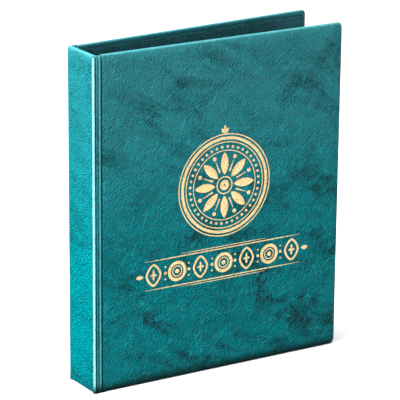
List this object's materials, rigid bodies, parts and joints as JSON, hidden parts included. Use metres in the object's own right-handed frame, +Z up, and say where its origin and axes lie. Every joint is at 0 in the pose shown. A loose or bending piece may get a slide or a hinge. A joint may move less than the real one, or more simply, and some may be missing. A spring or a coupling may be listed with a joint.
{
  "type": "coin album",
  "caption": "Ring-bound coin album with wrapped leatherette covers, scored hinges, a four-ring mechanism with end triggers and clear coin sheets.",
  "frame": {"origin": "bottom centre of the album's box as it stands on its bottom edges", "axes": "+Z up along the spine; the spine's outer face looks to -X, the front cover to -Y, the back cover to +Y, and the covers' free edges to +X"},
  "size_m": [0.2324, 0.057, 0.28],
  "materials": {
    "teal_leatherette": "glossy crinkle-grained marbled leatherette",
    "teal_lining": "satin crinkle grain",
    "grey_board": "raw grey board",
    "nickel": "bright nickel plate",
    "spring_steel": "satin spring steel",
    "clear_plastic": "clear glossy film",
    "gilt_foil": "hot-stamped gold foil"
  },
  "bodies": {
    "spine": {"spine_skin": "teal_leatherette", "spine_board": "grey_board", "spine_lining": "teal_lining", "ring_plate": "nickel", "rivet_top": "nickel", "rivet_bottom": "nickel", "trigger_pin_top": "spring_steel", "trigger_pin_bottom": "spring_steel"},
    "front_strip": {"front_hinge_strip": "teal_leatherette"},
    "front_cover": {"front_skin": "teal_leatherette", "front_board": "grey_board", "front_lining": "teal_lining"},
    "back_strip": {"back_hinge_strip": "teal_leatherette"},
    "back_cover": {"back_skin": "teal_leatherette", "back_board": "grey_board", "back_lining": "teal_lining"},
    "front_ring_leaf": {"front_blade": "spring_steel", "front_half_ring_1": "nickel", "front_half_ring_2": "nickel", "front_half_ring_3": "nickel", "front_half_ring_4": "nickel"},
    "back_ring_leaf": {"back_blade": "spring_steel", "back_half_ring_1": "nickel", "back_half_ring_2": "nickel", "back_half_ring_3": "nickel", "back_half_ring_4": "nickel"},
    "trigger_top": {"trigger_top": "nickel"},
    "trigger_bottom": {"trigger_bottom": "nickel"},
    "sheet_1": {"coin_sheet_1": "clear_plastic"},
    "sheet_2": {"coin_sheet_2": "clear_plastic"},
    "sheet_3": {"coin_sheet_3": "clear_plastic"},
    "sheet_4": {"coin_sheet_4": "clear_plastic"},
    "sheet_5": {"coin_sheet_5": "clear_plastic"}
  },
  "joints": [
    {"name": "front_hinge", "type": "hinge", "parent": "spine", "child": "front_strip", "pos_m": [-0.11592, -0.0197, 0.14], "axis": [0, 0, -1], "range_deg": [0, 87.88]},
    {"name": "front_fold", "type": "hinge", "parent": "front_strip", "child": "front_cover", "pos_m": [-0.10843, -0.02028, 0.14], "axis": [0, 0, -1], "range_deg": [-2.12, 90]},
    {"name": "back_hinge", "type": "hinge", "parent": "spine", "child": "back_strip", "pos_m": [-0.11592, 0.0197, 0.14], "axis": [0, 0, 1], "range_deg": [0, 87.88]},
    {"name": "back_fold", "type": "hinge", "parent": "back_strip", "child": "back_cover", "pos_m": [-0.10843, 0.02028, 0.14], "axis": [0, 0, 1], "range_deg": [-2.12, 90]},
    {"name": "ring_open", "type": "hinge", "parent": "spine", "child": "front_ring_leaf", "pos_m": [-0.11042, -0.0087, 0.14], "axis": [0, 0, -1], "range_deg": [0, 9]},
    {"name": "ring_open_back", "type": "hinge", "parent": "spine", "child": "back_ring_leaf", "pos_m": [-0.11042, 0.0087, 0.14], "axis": [0, 0, 1], "range_deg": [0, 9]},
    {"name": "trigger_top_press", "type": "hinge", "parent": "spine", "child": "trigger_top", "pos_m": [-0.11032, 0, 0.2493], "axis": [0, -1, 0], "range_deg": [0, 20]},
    {"name": "trigger_bottom_press", "type": "hinge", "parent": "spine", "child": "trigger_bottom", "pos_m": [-0.11032, 0, 0.0307], "axis": [0, 1, 0], "range_deg": [0, 20]},
    {"name": "sheet_1_turn", "type": "hinge", "parent": "spine", "child": "sheet_1", "pos_m": [-0.09972, 0, 0.14], "axis": [0, 0, -1], "range_deg": [0, 87.88]},
    {"name": "sheet_2_turn", "type": "hinge", "parent": "spine", "child": "sheet_2", "pos_m": [-0.09972, 0, 0.14], "axis": [0, 0, -1], "range_deg": [0, 87.88]},
    {"name": "sheet_3_turn", "type": "hinge", "parent": "spine", "child": "sheet_3", "pos_m": [-0.09972, 0, 0.14], "axis": [0, 0, -1], "range_deg": [0, 87.88]},
    {"name": "sheet_4_turn", "type": "hinge", "parent": "spine", "child": "sheet_4", "pos_m": [-0.09972, 0, 0.14], "axis": [0, 0, 1], "range_deg": [0, 87.88]},
    {"name": "sheet_5_turn", "type": "hinge", "parent": "spine", "child": "sheet_5", "pos_m": [-0.09972, 0, 0.14], "axis": [0, 0, 1], "range_deg": [0, 87.88]}
  ],
  "couplings": [
    {"joint": "ring_open_back", "follows": "ring_open", "ratio": 1},
    {"joint": "trigger_top_press", "follows": "ring_open", "ratio": 2.2},
    {"joint": "trigger_bottom_press", "follows": "ring_open", "ratio": 2.2},
    {"joint": "sheet_1_turn", "follows": "front_hinge", "ratio": 1},
    {"joint": "sheet_2_turn", "follows": "front_hinge", "ratio": 0.97},
    {"joint": "sheet_3_turn", "follows": "front_hinge", "ratio": 0.94},
    {"joint": "sheet_4_turn", "follows": "back_hinge", "ratio": 0.97},
    {"joint": "sheet_5_turn", "follows": "back_hinge", "ratio": 1}
  ]
}
